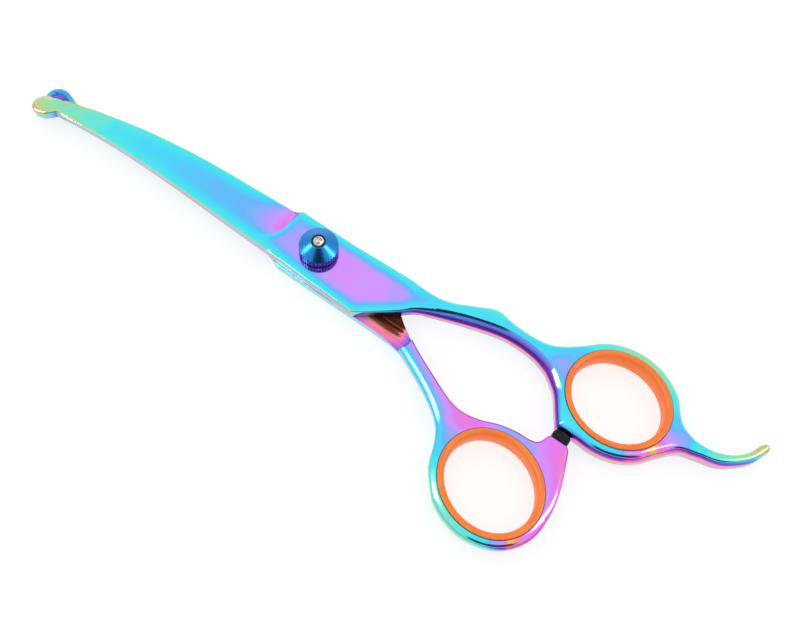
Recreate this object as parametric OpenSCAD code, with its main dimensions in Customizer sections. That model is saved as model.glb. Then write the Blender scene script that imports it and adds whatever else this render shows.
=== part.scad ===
// Curved thinning shears with safety ball tips, a knob-type tension screw and a fixed finger tang.
// Frame: origin on the pivot axis at the back face of the screw's head, +X to the tips,
// +Y to the thumb ring, +Z to the tension knob. The shears are drawn closed.

/* [Halves] */
// Thickness of each half at the pivot
half_t = 2.5; // [2.2:0.1:2.8]
// Gap between the inner faces of the two halves
ride_gap = 0.2; // [0.1:0.05:0.3]
// Height of a ball tip over the inner face of its blade
ball_h = 2.6; // [2.5:0.1:3.2]
// Radius of a ball tip
ball_r = 3.3; // [3:0.1:3.5]

/* [Teeth] */
// Number of slots in the toothed blade
slot_count = 27; // [12:1:30]
// Width of a slot
slot_w = 1.2; // [0.8:0.1:1.4]
// Depth of a slot from the edge
slot_depth = 4.2; // [2:0.1:4.5]

/* [Finger rings] */
// Half of the long side of an insert's flange
insert_a = 13; // [12.6:0.1:13.2]
// Half of the short side of an insert's flange
insert_b = 11.5; // [11.1:0.1:11.7]
// Overlap of the flange on the metal
flange_lap = 0.7; // [0.4:0.1:1]
// Thickness of the flange over the metal
flange_t = 0.5; // [0.3:0.1:0.7]
// Wall of the insert inside the metal ring
insert_wall = 1; // [0.6:0.1:1.4]

/* [Pivot] */
// Radius of the screw's journal
journal_r = 2.5; // [2.3:0.1:2.6]
// Radius of the screw's thread
thread_r = 2; // [1.8:0.1:2.1]
// Thread pitch, the rise of the knob for each turn
thread_pitch = 0.5; // [0.4:0.1:0.7]
// Outer radius of the knob
knob_r = 4.8; // [4.4:0.1:5.2]
// Height of the knob's knurled side
knob_side_h = 2.7; // [2.4:0.1:3]
// Rise of the knob's cone over its side
knob_cone_h = 2; // [1.4:0.1:2.4]
// Number of knurls
knurl_count = 40; // [24:2:48]

/* [Bumper] */
// Radius of the rubber bumper's head
bumper_r = 2.2; // [1.8:0.1:2.3]

/* [Hidden] */
$fn = 64;

// Height of the meeting plane over the back of the screw's head, inner faces and fits
head_t = 0.9;
meet_z = head_t + half_t;
face_z = ride_gap / 2;
fit = 0.05;
overcut = 1;

// Rings: centre, tilt of the long axis, and half sides of the metal's outer oval and of its hole
finger_ring_c = [-78.3, -10.7];
finger_ring_tilt = -3;
finger_ring_outer = [15.6, 13.9];
thumb_ring_c = [-65, 23.2];
thumb_ring_tilt = -21;
thumb_ring_outer = [14.9, 13.4];
hole_a = insert_a - flange_lap;
hole_b = insert_b - flange_lap;
flange_step = 0.2;

// Blades, from the shoulder to the ball: the upper one's edge and back, the lower one's edge and back
blade_root_x = 10;
upper_edge_pts = [[9.5, -5.9], [25, -5.1], [40, -4.1], [55, -2.1], [68, 0.7], [76, 3.1], [80.5, 5]];
upper_back_pts = [[9.5, 7.5], [25, 7.1], [40, 6.7], [55, 6.7], [68, 7.4], [76, 8.4], [80.5, 9.2]];
lower_edge_pts = [[9.5, 6.9], [25, 6.5], [40, 6.1], [55, 6.1], [68, 6.6], [76, 7], [80.7, 7.2]];
lower_back_pts = [[9.5, -5.6], [25, -4.8], [40, -3.8], [55, -1.8], [68, 1], [76, 3.3], [80.7, 4.6]];
blade_steps = 4;
first_slot_x = 15;
last_slot_x = 73;
slot_share = 0.5;
finger_ball_c = [80.5, 8.1];
thumb_ball_c = [80.5, 4.3];
ball_round = 1.3;

// Finger half: the lower edge to the ring, the tang, and the upper edge from the ring
finger_low = [
  [blade_root_x, -6.2], [-6, -6.4], [-20, -7], [-28, -7.3], [-33, -8.5], [-38, -11], [-42, -13.1],
  [-44.5, -13.6], [-48, -13], [-53, -12.8], [-58, -13.5], [-62, -15.8], [-66, -19.3]
];
finger_tang = [
  [-90, -19.3], [-93.5, -15.2], [-97.5, -13.4], [-102, -13.5], [-106, -15.1], [-109, -17.9],
  [-110.5, -21], [-111.6, -22.3], [-112.8, -21.8], [-112.6, -20], [-110.5, -15.9], [-105.5, -11.5],
  [-100, -9.8], [-96, -8.4], [-93, -5.2], [-90.5, -2]
];
finger_high = [
  [-69.9, 3], [-68, 0.4], [-65, -3.8], [-61, -6.9], [-57, -8.2], [-52, -8.6], [-47, -8.1], [-40, -6.1],
  [-33, -3.4], [-28, -1], [-25.4, 1.2]
];
finger_ear = [[-15.8, 8.4], [-2, 8], [blade_root_x, 7.5]];

// Thumb half: the upper edge to the ring, the nub, and the lower edge from the ring
thumb_high = [
  [9.5, 6.9], [7, 7.9], [5, 8.2], [-8, 8.2], [-22, 8.2], [-29, 8.9], [-34, 10.9], [-39, 13.3],
  [-44, 16.2], [-47.5, 19.2], [-49.6, 23], [-51.2, 27.3], [-53.4, 30.4], [-56.6, 33.5]
];
nub_end_y = 5.8;
thumb_nub = [[-79.1, 17.5], [-77.4, 13], [-76, 9], [-74.9, 6.3], [-74, nub_end_y]];
thumb_low = [
  [-70.3, nub_end_y], [-69.6, 6.2], [-68.7, 8.3], [-67, 9.2], [-63, 9.5], [-59, 10.4], [-55, 12],
  [-51, 12.8], [-47, 12.3], [-40, 9.4], [-33, 6.1], [-28, 3.1], [-25.4, 1.2]
];
thumb_ear = [[-15.8, -6.6], [blade_root_x, -6.6]];

// Round end of the recess that each handle leaves for the other half
recess_x = -25.9;
recess_r = 4.8;
recess_shoulder = 2.2;
recess_w = 60;
thumb_recess_y = 6.2;
finger_recess_y = -4.8;

// Pivot stack, from the head of the screw to the crystal
head_r = 4.6;
neck_flats = 4.2;
shoulder_z = half_t + 0.15;
bushing_r = 3.3;
glide_r = 6;
glide_t = 0.55;
friction_r = 3.7;
friction_t = 0.25;
spring_r = 3.6;
spring_t = 0.3;
spring_rise = 0.35;
knob_base_z = half_t + 0.1;
knob_rim_z = knob_base_z + knob_side_h;
knob_chamfer = 0.25;
knob_pocket_r = 4;
knob_pocket_h = 0.95;
knob_bore_top_z = knob_rim_z + 0.2;
knob_top_r = 1.95;
knurl_depth = 0.22;
seat_r = 1.7;
seat_depth = 0.7;
seat_floor = 0.2;
crystal_r = 1.4;
crystal_rise = 0.9;

// Bumper
bumper_x = -72.2;
bumper_head_h = 2.6;
bumper_stem_r = 1.2;
bumper_stem_h = 3;

// Smooth curve through the points p, with n steps to a span
function blend(a, b, c, d, t) =
  0.5 * (2 * b + (c - a) * t + (2 * a - 5 * b + 4 * c - d) * t * t
    + (3 * b - a - 3 * c + d) * t * t * t);
function curve(p, n = 3) = [
  for (i = [0 : len(p) - 2], k = [0 : n - 1])
    blend(p[max(i - 1, 0)], p[i], p[i + 1], p[min(i + 2, len(p) - 1)], k / n),
  p[len(p) - 1]
];

// Arc of a tilted oval from angle u to angle v, in n steps
function oval_arc(c, half_sides, tilt, u, v, n) = [
  for (k = [0 : n])
    let (
      t = u + (v - u) * k / n,
      a = half_sides[0] * cos(t),
      b = half_sides[1] * sin(t)
    ) c + [a * cos(tilt) - b * sin(tilt), a * sin(tilt) + b * cos(tilt)]
];
function oval(c, half_sides, tilt, n = 60) = oval_arc(c, half_sides, tilt, 0, 360 - 360 / n, n - 1);

// Edge and back of the lower blade
lower_edge = curve(lower_edge_pts, blade_steps);
lower_back = curve(lower_back_pts, blade_steps);

// Lifts a piece drawn about the meeting plane to its place over the back of the screw's head
module lift() {
  translate([0, 0, meet_z])
    children();
}

// Plate with the outline p between the heights z0 and z1
module plate(p, z0, z1) {
  translate([0, 0, z0])
    linear_extrude(z1 - z0)
      polygon(p);
}

// Disc with a hole, between the heights z0 and z1
module ring(r_out, r_in, z0, z1) {
  translate([0, 0, z0])
    difference() {
      cylinder(h = z1 - z0, r = r_out);
      translate([0, 0, -overcut])
        cylinder(h = z1 - z0 + 2 * overcut, r = r_in);
    }
}

// Section of a blade from its edge e to its back b: inner face, ground face, flat and chamfer.
// The side is 1 for the upper blade and -1 for the lower one.
function blade_section(e, b, t, side) = [
  for (q = [[0, 0], [0, 0.3], [0.45, 0.74 * t], [0.84, t], [0.94, t], [1, t - 0.5], [1, 0]])
    [e[0] + q[0] * (b[0] - e[0]), e[1] + q[0] * (b[1] - e[1]), side * (face_z + q[1])]
];

// Blade swept from the shoulder to the ball, a little thinner at the ball
module blade(edge, back, side) {
  n = len(edge) - 1;
  sections = [
    for (i = [0 : n])
      blade_section(edge[i], back[i], (half_t - face_z) * (1 - 0.15 * i / n), side)
  ];
  m = len(sections[0]);
  walls = [
    for (i = [0 : n - 1], k = [0 : m - 1])
      let (
        a = i * m + k,
        b = i * m + (k + 1) % m
      ) each [[a, b + m, a + m], [a, b, b + m]]
  ];
  ends = [
    [for (k = [m - 1 : -1 : 0]) k],
    [for (k = [0 : m - 1]) n * m + k]
  ];
  polyhedron([for (s = sections) each s], concat(walls, ends));
}

// Safety button at a blade's tip, flat on the inner face and rounded outside
module ball(c) {
  translate([c[0], c[1], face_z])
    rotate_extrude()
      polygon(concat(
        [[0, 0], [ball_r - 0.4, 0], [ball_r, 0.5]],
        [
          for (a = [0 : 15 : 90])
            [ball_r - ball_round * (1 - cos(a)), ball_h - ball_round * (1 - sin(a))]
        ],
        [[0, ball_h]]
      ));
}

// Space for the other half: its round end is at the height y, and it runs on to the tips
module recess(y, z0, z1) {
  translate([recess_x, y, z0])
    cylinder(h = z1 - z0, r = recess_r);
  translate([recess_x - recess_shoulder, -recess_w / 2, z0])
    cube([recess_w, recess_w, z1 - z0]);
}

// Slot in the lower blade at the station x, cut square from the edge, with a round root
module slot(x) {
  y = lookup(x, lower_edge);
  slope = lookup(x + 1, lower_edge) - y;
  depth = min(slot_depth, slot_share * (y - lookup(x, lower_back)));
  translate([x, y, -half_t - overcut])
    rotate([0, 0, atan(slope) - 90]) {
      translate([-overcut, -slot_w / 2, 0])
        cube([depth + overcut, slot_w, half_t + 2 * overcut]);
      translate([depth, 0, 0])
        cylinder(h = half_t + 2 * overcut, r = slot_w / 2, $fn = 24);
    }
}

// Screw's neck with two flats that keep it from turning in the thumb half
module neck(z0, z1, grow = 0) {
  translate([0, 0, z0])
    intersection() {
      cylinder(h = z1 - z0, r = journal_r + grow);
      translate([-neck_flats / 2 - grow, -head_r, 0])
        cube([neck_flats + 2 * grow, 2 * head_r, z1 - z0]);
    }
}

// Stem of the bumper, along the tangent of the thumb ring's swing
module bumper_stem(extra = 0) {
  translate([bumper_x, nub_end_y - extra, 0])
    rotate([-90, 0, 0])
      cylinder(h = bumper_stem_h + extra, r = bumper_stem_r);
}

// Soft insert: an oval sleeve with a flange on each face of the metal ring
module insert(c, tilt) {
  flange_z = half_t + flange_t;
  difference() {
    union() {
      plate(oval(c, [hole_a, hole_b], tilt), -flange_z, flange_z);
      plate(oval(c, [insert_a, insert_b], tilt), half_t, flange_z - flange_step);
      plate(oval(c, [insert_a, insert_b], tilt), flange_step - flange_z, -half_t);
      plate(oval(c, [insert_a - flange_step, insert_b - flange_step], tilt), half_t, flange_z);
      plate(oval(c, [insert_a - flange_step, insert_b - flange_step], tilt), -flange_z, -half_t);
    }
    plate(
      oval(c, [hole_a - insert_wall, hole_b - insert_wall], tilt),
      -flange_z - overcut, flange_z + overcut
    );
  }
}

// Upper half: blade, ear, shank, finger ring and tang in one forging
module finger_half() {
  outline = concat(
    curve(finger_low),
    oval_arc(finger_ring_c, finger_ring_outer, finger_ring_tilt, -42, -138, 16),
    curve(finger_tang),
    oval_arc(finger_ring_c, finger_ring_outer, finger_ring_tilt, 142, 84, 12),
    curve(finger_high),
    finger_ear
  );
  color("mediumturquoise")
    lift()
      difference() {
        union() {
          difference() {
            plate(outline, -half_t, half_t);
            recess(finger_recess_y, -half_t - overcut, face_z);
          }
          blade(curve(upper_edge_pts, blade_steps), curve(upper_back_pts, blade_steps), 1);
          ball(finger_ball_c);
        }
        plate(oval(finger_ring_c, [hole_a, hole_b], finger_ring_tilt), -half_t - overcut, half_t + overcut);
        cylinder(h = half_t + overcut, r = bushing_r);
      }
}

// Lower half: toothed blade, ear, shank, thumb ring and the nub for the bumper
module thumb_half() {
  outline = concat(
    curve(thumb_high),
    oval_arc(thumb_ring_c, thumb_ring_outer, thumb_ring_tilt, 75, 205, 22),
    curve(thumb_nub),
    curve(thumb_low),
    thumb_ear
  );
  color("mediumorchid")
    lift()
      difference() {
        union() {
          difference() {
            plate(outline, -half_t, half_t);
            recess(thumb_recess_y, -face_z, half_t + overcut);
          }
          difference() {
            blade(lower_edge, lower_back, -1);
            for (k = [0 : slot_count - 1])
              slot(first_slot_x + (last_slot_x - first_slot_x) * k / (slot_count - 1));
          }
          mirror([0, 0, 1])
            ball(thumb_ball_c);
        }
        plate(oval(thumb_ring_c, [hole_a, hole_b], thumb_ring_tilt), -half_t - overcut, half_t + overcut);
        neck(-half_t - overcut, half_t);
        translate([0, 0, -face_z - glide_t])
          cylinder(h = glide_t + overcut, r = glide_r);
        bumper_stem(overcut);
      }
}

module finger_ring_insert() {
  color("darkorange")
    lift()
      insert(finger_ring_c, finger_ring_tilt);
}

module thumb_ring_insert() {
  color("darkorange")
    lift()
      insert(thumb_ring_c, thumb_ring_tilt);
}

// Rubber stop pressed into the nub, whose domed end meets the finger ring
module bumper() {
  color("black")
    lift() {
      bumper_stem();
      translate([bumper_x, nub_end_y, 0])
        rotate([90, 0, 0])
          rotate_extrude()
            polygon([
              [0, 0], [bumper_r, 0], [bumper_r, 0.5], [bumper_r - 0.3, 1.5], [bumper_r - 0.8, 2.2],
              [bumper_r - 1.5, bumper_head_h - 0.1], [0, bumper_head_h]
            ]);
    }
}

// Screw from the back: flat head, neck with flats, journal, shoulder and thread
module pivot_screw() {
  color("royalblue")
    lift() {
      translate([0, 0, -meet_z])
        rotate_extrude()
          polygon([
            [0, 0], [head_r - 0.3, 0], [head_r, 0.3], [head_r, head_t], [0, head_t]
          ]);
      neck(-half_t, -face_z - glide_t);
      translate([0, 0, -face_z - glide_t])
        cylinder(h = shoulder_z + face_z + glide_t, r = journal_r);
      cylinder(h = knob_rim_z - 0.2, r = thread_r);
    }
}

// Sleeve in the finger half that turns on the journal
module pivot_bushing() {
  color("khaki")
    lift()
      ring(bushing_r, journal_r + fit, face_z, half_t);
}

// Slip washer in the thumb half's counterbore, between the two halves
module glide_washer() {
  color("ivory")
    lift()
      ring(glide_r, journal_r + fit, -face_z - glide_t, face_z - fit);
}

// Flat washer on the finger half, under the spring
module friction_washer() {
  color("ivory")
    lift()
      ring(friction_r, journal_r + fit, half_t, half_t + friction_t);
}

// Dished spring washer, inside the knob
module spring_washer() {
  z = half_t + friction_t + fit;
  inner = thread_r + 0.15;
  color("silver")
    lift()
      rotate_extrude()
        polygon([
          [spring_r, z], [spring_r, z + spring_t], [inner, z + spring_rise + spring_t],
          [inner, z + spring_rise]
        ]);
}

// Knurled nut with a conical top, a pocket for the washers and a seat for the crystal
module tension_knob() {
  body_r = knob_r - knurl_depth;
  color("mediumblue")
    lift()
      difference() {
        union() {
          rotate_extrude()
            polygon([
              [0, knob_base_z], [body_r, knob_base_z], [body_r, knob_rim_z - knob_chamfer],
              [body_r - knob_chamfer, knob_rim_z], [knob_top_r, knob_rim_z + knob_cone_h],
              [0, knob_rim_z + knob_cone_h]
            ]);
          for (k = [0 : knurl_count - 1])
            rotate([0, 0, 360 * k / knurl_count])
              translate([body_r - 0.15, -0.2, knob_base_z + 0.2])
                cube([knurl_depth + 0.15, 0.4, knob_side_h - 0.2 - 2 * knob_chamfer]);
        }
        translate([0, 0, knob_base_z - overcut])
          cylinder(h = knob_pocket_h + overcut, r = knob_pocket_r);
        translate([0, 0, knob_base_z])
          cylinder(h = knob_bore_top_z - knob_base_z, r = thread_r + fit);
        translate([0, 0, knob_rim_z + knob_cone_h - seat_depth])
          cylinder(h = seat_depth + overcut, r = seat_r);
      }
}

// Bright cup that holds the crystal
module crystal_bezel() {
  z = knob_rim_z + knob_cone_h - seat_depth;
  color("gainsboro")
    lift()
      rotate_extrude()
        polygon([
          [0, z], [seat_r, z], [seat_r, z + seat_depth + 0.1], [crystal_r + 0.1, z + seat_depth + 0.1],
          [crystal_r, z + seat_depth - 0.1], [crystal_r, z + seat_floor], [0, z + seat_floor]
        ]);
}

// Clear crystal with a domed crown
module knob_crystal() {
  z = knob_rim_z + knob_cone_h - seat_depth + seat_floor;
  girdle_z = knob_rim_z + knob_cone_h - 0.1;
  color("white")
    lift()
      rotate_extrude()
        polygon(concat(
          [[0, z], [crystal_r, z]],
          [for (a = [0 : 15 : 90]) [crystal_r * cos(a), girdle_z + crystal_rise * sin(a)]]
        ));
}

finger_half();
thumb_half();
finger_ring_insert();
thumb_ring_insert();
bumper();
pivot_screw();
pivot_bushing();
glide_washer();
friction_washer();
spring_washer();
tension_knob();
crystal_bezel();
knob_crystal();
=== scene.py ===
import math

import bpy
import numpy as np
from mathutils import Matrix, Vector
from mathutils.geometry import delaunay_2d_cdt

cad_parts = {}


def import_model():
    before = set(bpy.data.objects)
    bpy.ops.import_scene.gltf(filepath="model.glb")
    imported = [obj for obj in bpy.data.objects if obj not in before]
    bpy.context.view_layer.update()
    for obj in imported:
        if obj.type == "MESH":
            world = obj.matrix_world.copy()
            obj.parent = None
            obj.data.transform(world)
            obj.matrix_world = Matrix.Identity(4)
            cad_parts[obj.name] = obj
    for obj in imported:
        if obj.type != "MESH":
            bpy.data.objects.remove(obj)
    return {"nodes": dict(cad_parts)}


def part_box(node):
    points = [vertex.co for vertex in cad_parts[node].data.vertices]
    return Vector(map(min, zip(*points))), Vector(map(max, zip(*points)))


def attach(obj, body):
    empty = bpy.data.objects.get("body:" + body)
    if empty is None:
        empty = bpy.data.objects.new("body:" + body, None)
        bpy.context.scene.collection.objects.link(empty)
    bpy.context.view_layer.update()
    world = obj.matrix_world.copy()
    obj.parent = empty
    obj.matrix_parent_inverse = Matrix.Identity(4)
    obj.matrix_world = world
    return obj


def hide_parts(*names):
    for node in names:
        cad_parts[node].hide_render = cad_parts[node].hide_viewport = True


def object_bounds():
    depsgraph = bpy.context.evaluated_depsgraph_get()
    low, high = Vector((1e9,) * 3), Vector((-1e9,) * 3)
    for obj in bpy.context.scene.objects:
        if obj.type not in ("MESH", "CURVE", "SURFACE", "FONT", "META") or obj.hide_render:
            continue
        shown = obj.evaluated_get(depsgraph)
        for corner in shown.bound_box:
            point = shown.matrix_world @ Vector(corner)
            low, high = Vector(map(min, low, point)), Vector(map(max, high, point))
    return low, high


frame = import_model()
cad_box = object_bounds()

# Sizes are in millimetres and heights are about the plane where the two halves meet,
# until mesh_object() turns them into metres in the frame's own axes.
MM = 0.001
HALF_T = 2.5
FACE_Z = 0.1
MEET_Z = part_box("finger_half")[0].z / MM + HALF_T

# Direction, in the plane of the shears, that the camera leans towards
NEAR = Vector((-0.597, 0.802, 0.0))

# Finger rings: centre, tilt in degrees, half sides of the outer oval and of its hole
FINGER_RING = {"centre": (-78.3, -10.7), "tilt": -3, "outer": (15.58, 13.88)}
THUMB_RING = {"centre": (-65, 23.2), "tilt": -21, "outer": (14.88, 13.38)}
RING_HOLE = (12.3, 10.8)

# Blades: edge and back, and the outline of the upper blade's tip. Their CAD lines are a little
# simpler at the tips.
UPPER_EDGE = [
    (9.5, -5.9), (25, -5.1), (40, -4.1), (55, -2.1), (68, 0.7), (73, 2.1), (77, 3.2), (79.1, 3.95),
    (81.5, 4.9),
]
UPPER_BACK = [(9.5, 7.5), (25, 7.1), (40, 6.7), (55, 6.7), (68, 7.4), (76, 8.4), (80.5, 9.2)]
UPPER_TIP = [
    (81.5, 4.9), (82.9, 5.5), (83.65, 6.7), (83.78, 8.2), (83.4, 9.6), (82.4, 10.8), (80.9, 11.35),
    (79.4, 11.2), (78.1, 10.6), (77.2, 9.6), (76.5, 8.5),
]
LOWER_EDGE = [(9.5, 6.9), (25, 6.5), (40, 6.1), (55, 6.1), (68, 6.6), (76, 7), (80.7, 7.2)]
LOWER_BACK = [
    (9.5, -5.6), (25, -4.8), (40, -3.8), (55, -1.8), (68, 1), (72.5, 2.3), (75.3, 2.55), (77.5, 1.8),
    (79.3, 1.2), (80.7, 1.1),
]
BLADE_X = (9.5, 80.5)

# Blade's outer face: height of the edge, share of the thickness lost by the tip, share of the width
# that is ground, and the small bevel along the back. The ground face starts at the plunge line, which
# is given as places x over shares of the width, and it gets to its full depth over the plunge run.
# No face is lower than the least height.
EDGE_H = 0.15
TAPER = 0.15
GROUND_SHARE = 0.84
BEVEL_SHARE = 0.94
BEVEL_H = 0.12
BEVEL_FADE_X = (9, 18)
PLUNGE_SHARE = (0, 0.07, 0.43, 0.58, 0.7, 0.84)
PLUNGE_X = (9.6, 9.7, 10.2, 10.7, 11.9, 14)
PLUNGE_RUN = 3.5
LEAST_H = 0.12

# Flat balls at the tips: size, places, and the span beyond the radius where a ball's face falls to
# the blade's. Past TIP_X the rounding is in proportion to the height, and the inner face is relieved
# along the outline by a depth, over a width.
BALL_R = 3.3
BALL_H = 2.6
FINGER_BALL = (80.5, 8.1)
THUMB_BALL = (80.5, 4.3)
BALL_FADE = (-0.4, 2.2)
TIP_X = (74, 76.5)
TIP_RELIEF = (0.35, 0.5)
TIP_RELIEF_X = (74.5, 79.5)

# Slots of the lower blade: the depth is a share of the blade's width where that is less
SLOT_COUNT = 27
SLOT_X = (15, 73)
SLOT_W = 1.2
SLOT_DEPTH = 4.2
SLOT_SHARE = 0.5

# Finger half: the far side to the ring, the tang, and the near side from the ring
FINGER_LOW = [
    (10, -6.2), (-6, -6.4), (-20, -7), (-28, -7.3), (-33, -8.5), (-38, -11), (-42, -13.1),
    (-44.5, -13.6), (-48, -13), (-53, -12.8), (-58, -13.5), (-62, -15.8), (-66, -19.3),
]
FINGER_TANG = [
    (-90.6, -19), (-93.5, -15.2), (-97.5, -13.4), (-102, -13.5), (-106, -15.1), (-109, -17.9),
    (-110.5, -21), (-111.6, -22.3), (-112.8, -21.8), (-112.6, -20), (-110.5, -15.9),
    (-105.5, -11.5), (-100, -9.8), (-96, -8.4), (-93, -5.2), (-90.5, -2),
]
FINGER_HIGH = [
    (-69.9, 3), (-68, 0.4), (-65, -3.8), (-61, -6.9), (-57, -8.2), (-52, -8.6), (-47, -8.1),
    (-40, -6.1), (-33, -3.4), (-28, -1), (-25.4, 1.2),
]
FINGER_EAR = [(-15.8, 8.4), (-2, 8), (10, 7.5)]

# Thumb half: the near side to the ring, the nub, and the far side from the ring
THUMB_HIGH = [
    (9.5, 6.9), (7, 7.9), (5, 8.2), (-8, 8.2), (-22, 8.2), (-29, 8.9), (-34, 10.9), (-39, 13.3),
    (-44, 16.2), (-47.5, 19.2), (-49.6, 23), (-51.2, 27.3), (-53.4, 30.4), (-56.2, 33.5),
]
THUMB_NUB = [
    (-79.65, 22.4), (-79.5, 20), (-79.05, 17.3), (-78.4, 14.8), (-77.6, 12.4), (-76.2, 8.7),
    (-75.1, 6.4), (-74, 5.8),
]
THUMB_LOW = [
    (-70.3, 5.8), (-69.6, 6.2), (-68.7, 8.3), (-67, 9.2), (-63, 9.5), (-59, 10.4), (-55, 12),
    (-51, 12.8), (-47, 12.3), (-40, 9.4), (-33, 6.1), (-28, 3.1), (-25.4, 1.2),
]
THUMB_EAR = [(-15.8, -6.6), (9.5, -6.6)]

# Recess of each handle for the other half: centre and radius of its end, and where it starts beside
# that. The underside of the finger half's shank rises towards its recess over the run-out.
FINGER_RECESS = (-25.9, -4.8, 4.8)
THUMB_RECESS = (-27.9, 6.55, 3.5)
RECESS_EDGE_X = -28.1
FINGER_RUN_OUT = (-41, -27)
RUN_OUT_SHARE = 0.96

# Pivot
BUSHING_R = 3.3
NECK_R = 2.5
NECK_FLAT = 2.1
GLIDE_R = 6
GLIDE_T = 0.55

# Rounding of a side: how far in it starts, how deep it goes, and how much of it is a facet.
# The underside drops by a smaller share of that depth.
CRISP = (0.05, 0.02, 0)
FLAT_EDGE = (0.35, 0.35, 0)
ROUND_SIDE = (2.3, 2.3, 0)
FACET_SIDE = (1.8, 2.3, 0.61)
TANG_SIDE = (1.3, 2.0, 0)
NUB_SIDE = (1.4, 2.0, 0)
NUB_END = (0.5, 0.5, 0)
TIP_SIDE = (0.6, 0.6, 0)
TIP_SLOPE = (2.6, 2.2, 0.85)
FLAT_BELOW = 0.55
BODY_FADE_X = (-33, -22)
FACET_FADE_X = (-38, -17)
TANG_FADE_X = (-100, -93)
RING_FADE_X = (-69, -62)
THUMB_FADE_X = (-30, -25.5)
EAR_FADE_X = (6, 10)
SLOPE_FADE_X = (77, 78.5)
SEAM = 0.2

# Mesh: spacing along the outlines and of the grid inside them
SPACING = 0.5
GRID = 0.8

# Film, from 0 to 1 along the ramps of colour. On the flat faces it is thinner at the border. Past the
# plunge line it is thicker, by an amount that fades over the first patch length, and this patch ends
# over the second. It is thinner again along the edges near the tip.
BORDER_W = 3.9
BORDER_FILM = 0.32
BORDER_FADE_X = (-32, -24)
PATCH_FILM = 0.62
PATCH_EXTRA = 0.33
PATCH_LENGTHS = (4, 8)
PATCH_SHARE = (0.45, 0.8)
TIP_THINNER = 0.06
TIP_THINNER_X = (45, 70)


# Curves and outlines


def spaced(points, spacing=SPACING):
    """Points at an even spacing along a line."""
    points = np.array(points, float)
    along = np.concatenate([[0], np.cumsum(np.hypot(*np.diff(points, axis=0).T))])
    count = max(1, round(along[-1] / spacing))
    steps = np.linspace(0, along[-1], count + 1)
    return np.stack([np.interp(steps, along, points[:, k]) for k in (0, 1)], 1)


def curve(points, spacing=SPACING):
    """Smooth curve through the points, with its points at an even spacing."""
    p = np.array([points[0], *points, points[-1]], float)
    t = np.linspace(0, 1, 12, endpoint=False)[:, None]
    spans = []
    for a, b, c, d in zip(p, p[1:], p[2:], p[3:]):
        square = 2 * a - 5 * b + 4 * c - d
        cube = 3 * b - a - 3 * c + d
        spans.append(0.5 * (2 * b + (c - a) * t + square * t**2 + cube * t**3))
    return spaced(np.concatenate([*spans, p[-1:]]), spacing)


def oval(ring, half_sides, start, stop, count):
    """Arc of a ring's tilted oval, between two angles in degrees."""
    u = np.radians(np.linspace(start, stop, count))
    a, b = half_sides[0] * np.cos(u), half_sides[1] * np.sin(u)
    c, s = math.cos(math.radians(ring["tilt"])), math.sin(math.radians(ring["tilt"]))
    return np.stack([ring["centre"][0] + a * c - b * s, ring["centre"][1] + a * s + b * c], 1)


def circle(centre, radius, start=0, stop=360, count=64):
    u = np.radians(np.linspace(start, stop, count))
    return np.stack([centre[0] + radius * np.cos(u), centre[1] + radius * np.sin(u)], 1)


def blade_and_ball(low, high, centre):
    """Outline of a blade, out along its lower line, round the ball and back along its upper line."""
    low = [p for p in low if math.dist(p, centre) > BALL_R]
    high = [p for p in high if math.dist(p, centre) > BALL_R]
    start = math.degrees(math.atan2(low[-1][1] - centre[1], low[-1][0] - centre[0]))
    stop = math.degrees(math.atan2(high[-1][1] - centre[1], high[-1][0] - centre[0]))
    tip = circle(centre, BALL_R, start, stop, 36)
    return np.array(low), tip, np.array(high[::-1])


def toothed(edge, back):
    """Edge of the lower blade with its slots, from the shoulder to the tip."""
    slots = []
    for x in np.linspace(*SLOT_X, SLOT_COUNT):
        y = np.interp(x, edge[:, 0], edge[:, 1])
        slope = np.interp(x + 1, edge[:, 0], edge[:, 1]) - y
        along = np.array((1, slope)) / math.hypot(1, slope)
        inward = np.array((along[1], -along[0]))
        width = y - np.interp(x, back[:, 0], back[:, 1])
        root = np.array((x, y)) + inward * min(SLOT_DEPTH, SLOT_SHARE * width)
        u = np.linspace(0, math.pi, 9)[:, None]
        end = root + SLOT_W / 2 * (np.sin(u) * inward - np.cos(u) * along)
        mouth = np.array((x, y)) + SLOT_W / 2 * np.array((-along, along))
        slots.append(np.concatenate([mouth[:1], end, mouth[1:]]))
    first = edge[edge[:, 0] < SLOT_X[0] - SLOT_W]
    last = edge[edge[:, 0] > SLOT_X[1] + SLOT_W]
    return np.concatenate([first, *slots, last])


def stretch(points, *sides, fade=None):
    """A stretch of an outline with its rounding; with fade, it goes from one kind of side to the
    other across that span of x."""
    points = np.array(points, float)
    style = np.tile(sides[0], (len(points), 1)).astype(float)
    if fade:
        share = np.clip((points[:, 0] - fade[0]) / (fade[1] - fade[0]), 0, 1)[:, None]
        share = share * share * (3 - 2 * share)
        style = (1 - share) * np.array(sides[0]) + share * np.array(sides[1])
    return points, style


def joined(stretches):
    """One counter-clockwise loop from the stretches, with the rounding at each point. Stretches that
    don't touch are joined by a straight line."""
    rows = []
    for (p, s), (after, after_style) in zip(stretches, [*stretches[1:], stretches[0]]):
        rows.append((p, s))
        bridge = spaced([p[-1], after[0]])[1:-1]
        share = np.linspace(0, 1, len(bridge) + 2)[1:-1, None]
        rows.append((bridge, (1 - share) * s[-1] + share * after_style[0]))
    points = np.concatenate([p for p, _ in rows])
    style = np.concatenate([s for _, s in rows])
    keep = np.hypot(*(points - np.roll(points, 1, 0)).T) > 0.02
    points, style = points[keep], style[keep]
    x, y = points.T
    if (x * np.roll(y, -1) - y * np.roll(x, -1)).sum() < 0:
        points, style = points[::-1], style[::-1]
    near = [np.roll(style, k, 0) for k in range(-6, 7)]
    return points, np.mean(near, 0)


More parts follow.
